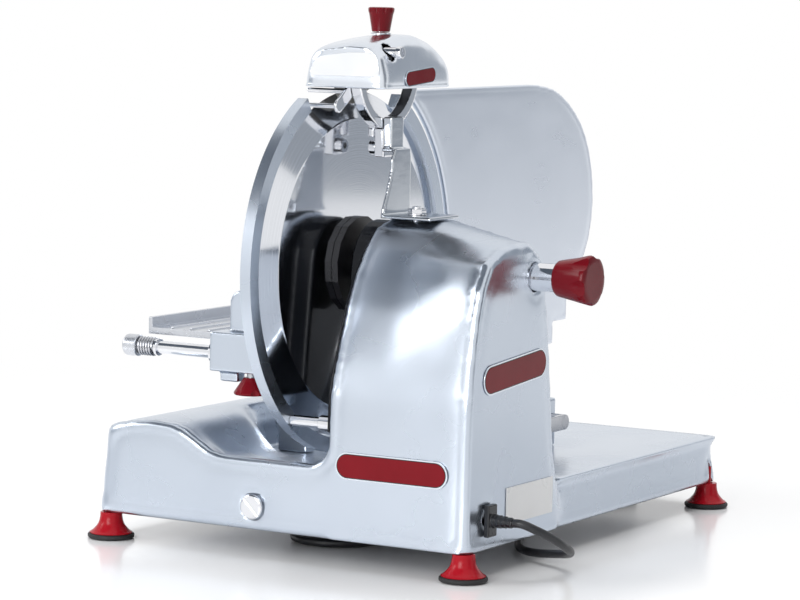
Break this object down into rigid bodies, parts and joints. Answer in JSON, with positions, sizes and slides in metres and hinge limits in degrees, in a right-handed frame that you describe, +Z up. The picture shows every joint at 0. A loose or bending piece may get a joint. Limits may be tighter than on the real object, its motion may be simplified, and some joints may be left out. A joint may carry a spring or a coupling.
{
  "type": "electric vertical meat slicer",
  "caption": "Cast aluminium slicer with an upright round blade in a guard ring, sliding carriage, gauge plate, overhead sharpener and motor tower.",
  "frame": {"origin": "middle of the machine's footprint on the table, the mains cord left out", "axes": "+Z up; +X from the blade's gauge side towards the motor tower, along the blade's axis; +Y towards the user's side, along the carriage's travel"},
  "size_m": [0.4357, 0.6749, 0.4674],
  "materials": {
    "cast_aluminium": "satin",
    "sheet_aluminium": "satin",
    "blade_steel": "mirror polished",
    "polished_chrome": "polished",
    "machined_steel": "satin",
    "dark_steel": "dark satin",
    "red_plastic": "gloss",
    "green_plastic": "gloss",
    "black_plastic": "gloss",
    "black_rubber": "matte",
    "abrasive_grey": "rough",
    "white_label": "matte"
  },
  "bodies": {
    "body": {"body_casting": "cast_aluminium", "guard_ring": "cast_aluminium", "rail_bracket_front": "cast_aluminium", "rail_bracket_back": "cast_aluminium", "gauge_guide": "cast_aluminium", "bearing_carrier": "cast_aluminium", "base_plate": "sheet_aluminium", "blade_cover": "sheet_aluminium", "ring_post_front": "polished_chrome", "ring_post_back": "polished_chrome", "tie_rod_sleeve": "polished_chrome", "sharpener_leg": "polished_chrome", "leg_bolt": "polished_chrome", "slot_plug": "polished_chrome", "guide_rail": "polished_chrome", "motor": "dark_steel", "foot_front_left": "red_plastic", "foot_front_right": "red_plastic", "foot_back_left": "red_plastic", "foot_back_right": "red_plastic", "front_badge": "red_plastic", "side_badge": "red_plastic", "belt_cover": "black_plastic", "switch_plate": "black_plastic", "cord_strain_relief": "black_plastic", "mains_plug": "black_plastic", "drive_belt": "black_rubber", "cord_lead": "black_rubber", "cord_hank": "black_rubber", "cord_tail": "black_rubber", "rating_plate": "white_label"},
    "blade": {"blade": "blade_steel", "spindle": "machined_steel", "blade_pulley": "machined_steel"},
    "motor_rotor": {"motor_pulley": "machined_steel"},
    "tie_knob": {"tie_rod": "machined_steel", "tie_rod_knob": "red_plastic"},
    "sharpener_head": {"sharpener_yoke": "polished_chrome", "yoke_bolt": "polished_chrome", "head_cover": "cast_aluminium", "head_frame": "dark_steel", "stay_rods": "polished_chrome", "head_badge": "red_plastic"},
    "grinding_wheel": {"grinding_stone": "abrasive_grey"},
    "honing_wheel": {"honing_stone": "abrasive_grey"},
    "sharpener_knob": {"head_knob": "red_plastic", "head_knob_stem": "polished_chrome"},
    "stone_button": {"push_button": "polished_chrome"},
    "gauge": {"gauge_plate": "cast_aluminium", "gauge_bars": "machined_steel"},
    "thickness_dial": {"thickness_knob": "red_plastic"},
    "carriage": {"carriage_slider": "cast_aluminium", "carriage_table": "cast_aluminium", "end_block": "cast_aluminium", "feed_rod": "polished_chrome", "feed_rod_cap": "sheet_aluminium", "feed_spring": "machined_steel"},
    "carriage_lock": {"lock_knob": "red_plastic"},
    "start": {"start_button": "green_plastic"},
    "stop": {"stop_button": "red_plastic"}
  },
  "joints": [
    {"name": "blade_spin", "type": "hinge", "parent": "body", "child": "blade", "pos_m": [-0.01775, -0.14838, 0.245], "axis": [1, 0, 0], "continuous": true},
    {"name": "motor_spin", "type": "hinge", "parent": "body", "child": "motor_rotor", "pos_m": [0.01225, -0.18238, 0.14], "axis": [1, 0, 0], "continuous": true},
    {"name": "tie_knob_turn", "type": "hinge", "parent": "body", "child": "tie_knob", "pos_m": [0.17225, -0.14838, 0.245], "axis": [1, 0, 0], "continuous": true},
    {"name": "sharpener_lift", "type": "slide", "parent": "body", "child": "sharpener_head", "axis": [0, 0, 1], "range_m": [0, 0.012]},
    {"name": "grinding_stone_spin", "type": "hinge", "parent": "sharpener_head", "child": "grinding_wheel", "pos_m": [-0.00775, -0.17238, 0.405], "axis": [1, 0, 0], "continuous": true},
    {"name": "honing_stone_spin", "type": "hinge", "parent": "sharpener_head", "child": "honing_wheel", "pos_m": [-0.02675, -0.12438, 0.405], "axis": [1, 0, 0], "continuous": true},
    {"name": "sharpener_knob_turn", "type": "hinge", "parent": "sharpener_head", "child": "sharpener_knob", "pos_m": [0.00625, -0.14838, 0.44], "axis": [0, 0, 1], "continuous": true},
    {"name": "stone_button_press", "type": "slide", "parent": "sharpener_head", "child": "stone_button", "axis": [-1, 0, 0], "range_m": [0, 0.004], "stiffness_N_per_m": 300, "springref_m": -0.004},
    {"name": "gauge_slide", "type": "slide", "parent": "body", "child": "gauge", "axis": [1, 0, 0], "range_m": [0, 0.015]},
    {"name": "thickness_turn", "type": "hinge", "parent": "body", "child": "thickness_dial", "pos_m": [-0.04175, 0.23162, 0.046], "axis": [0, 1, 0], "range_deg": [0, 330]},
    {"name": "carriage_slide", "type": "slide", "parent": "body", "child": "carriage", "axis": [0, 1, 0], "range_m": [0, 0.2]},
    {"name": "carriage_lock_turn", "type": "hinge", "parent": "carriage", "child": "carriage_lock", "pos_m": [-0.07375, -0.22038, 0.15], "axis": [0, 0, 1], "continuous": true},
    {"name": "start_press", "type": "slide", "parent": "body", "child": "start", "axis": [0, -1, 0], "range_m": [0, 0.0025], "stiffness_N_per_m": 400, "springref_m": -0.003},
    {"name": "stop_press", "type": "slide", "parent": "body", "child": "stop", "axis": [0, -1, 0], "range_m": [0, 0.0025], "stiffness_N_per_m": 400, "springref_m": -0.003}
  ],
  "couplings": [
    {"joint": "motor_spin", "follows": "blade_spin", "ratio": 2.8333},
    {"joint": "thickness_turn", "follows": "gauge_slide", "rad_per_m": 383.9}
  ]
}
